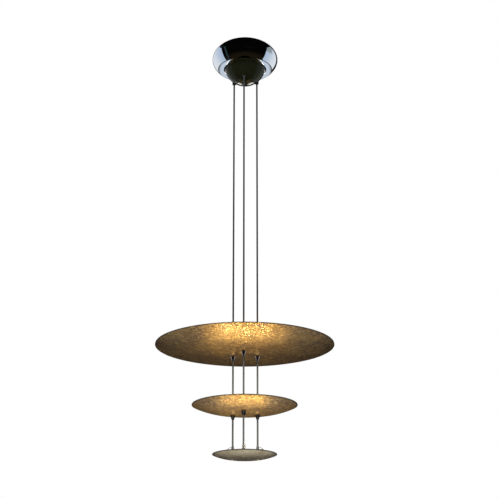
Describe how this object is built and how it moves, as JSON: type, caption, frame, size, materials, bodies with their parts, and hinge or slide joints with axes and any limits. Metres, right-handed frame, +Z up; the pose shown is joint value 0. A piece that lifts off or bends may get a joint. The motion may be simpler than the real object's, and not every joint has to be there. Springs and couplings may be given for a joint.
{
  "type": "pendant lamp",
  "caption": "Pendant lamp with a mirror-bright ceiling canopy, parallel rods and shallow leaf-gilt dishes, each lit by low-voltage capsule bulbs in the dish below it.",
  "frame": {"origin": "centre of the ceiling plate's upper face, on the ceiling", "axes": "+Z up along the rods, -Y towards the viewer of the picture, +X to the viewer's right"},
  "size_m": [0.6, 0.6, 1.5007],
  "materials": {
    "zinc": "zinc-plated",
    "winding": "wound film tape",
    "pad": "moulded",
    "laminate": "pressed insulating board",
    "porcelain": "glazed ceramic",
    "canopy_chrome": "mirror polished",
    "polished": "polished turned metal",
    "rod_steel": "dark drawn steel",
    "gold_leaf": "gold leaf with patina over spun sheet",
    "aged_leaf": "aged leaf with patina over spun sheet",
    "clear_glass": "clear",
    "wire": "tinned"
  },
  "bodies": {
    "hanger": {"ceiling_plate": "zinc", "centre_stud": "zinc", "ring_transformer": "winding", "upper_pad": "pad", "lower_pad": "pad", "terminal_block": "porcelain", "rod_plate": "laminate", "stud_nut": "zinc", "front_rod_nut": "zinc", "right_rod_nut": "zinc", "left_rod_nut": "zinc", "front_rod": "rod_steel", "right_rod": "rod_steel", "left_rod": "rod_steel", "small_dish": "aged_leaf", "small_front_end_screw": "aged_leaf", "small_right_end_screw": "aged_leaf", "small_left_end_screw": "aged_leaf", "small_carrier": "laminate", "small_right_clamp": "rod_steel", "small_left_clamp": "rod_steel", "small_front_holder": "porcelain", "small_right_holder": "porcelain", "small_left_holder": "porcelain", "small_right_lead": "wire", "small_left_lead": "wire"},
    "canopy": {"canopy_cover": "canopy_chrome", "canopy_bowl": "canopy_chrome", "front_canopy_gland": "polished", "right_canopy_gland": "polished", "left_canopy_gland": "polished"},
    "big_stage": {"big_dish": "gold_leaf", "big_front_cone": "polished", "big_right_cone": "polished", "big_left_cone": "polished"},
    "middle_stage": {"middle_dish": "gold_leaf", "middle_front_cone": "polished", "middle_right_cone": "polished", "middle_left_cone": "polished", "middle_carrier": "laminate", "middle_right_clamp": "rod_steel", "middle_left_clamp": "rod_steel", "middle_front_holder": "porcelain", "middle_right_holder": "porcelain", "middle_left_holder": "porcelain", "middle_right_lead": "wire", "middle_left_lead": "wire"},
    "middle_front_bulb": {"middle_front_bulb": "clear_glass"},
    "middle_right_bulb": {"middle_right_bulb": "clear_glass"},
    "middle_left_bulb": {"middle_left_bulb": "clear_glass"},
    "small_front_bulb": {"small_front_bulb": "clear_glass"},
    "small_right_bulb": {"small_right_bulb": "clear_glass"},
    "small_left_bulb": {"small_left_bulb": "clear_glass"}
  },
  "joints": [
    {"name": "canopy_slide", "type": "slide", "parent": "hanger", "child": "canopy", "axis": [0, 0, 1], "range_m": [-0.15, 0]},
    {"name": "big_dish_slide", "type": "slide", "parent": "hanger", "child": "big_stage", "axis": [0, 0, 1], "range_m": [-0.02, 0.4]},
    {"name": "middle_dish_slide", "type": "slide", "parent": "hanger", "child": "middle_stage", "axis": [0, 0, 1], "range_m": [-0.04, 0.06]},
    {"name": "middle_front_bulb_pull", "type": "slide", "parent": "middle_stage", "child": "middle_front_bulb", "axis": [0, 0, 1], "range_m": [0, 0.03]},
    {"name": "middle_right_bulb_pull", "type": "slide", "parent": "middle_stage", "child": "middle_right_bulb", "axis": [0.8261, -0.5635, 0], "range_m": [0, 0.009]},
    {"name": "middle_left_bulb_pull", "type": "slide", "parent": "middle_stage", "child": "middle_left_bulb", "axis": [-0.9011, -0.4337, 0], "range_m": [0, 0.009]},
    {"name": "small_front_bulb_pull", "type": "slide", "parent": "hanger", "child": "small_front_bulb", "axis": [0, 0, 1], "range_m": [0, 0.03]},
    {"name": "small_right_bulb_pull", "type": "slide", "parent": "hanger", "child": "small_right_bulb", "axis": [0.8261, -0.5635, 0], "range_m": [0, 0.009]},
    {"name": "small_left_bulb_pull", "type": "slide", "parent": "hanger", "child": "small_left_bulb", "axis": [-0.9011, -0.4337, 0], "range_m": [0, 0.009]}
  ]
}
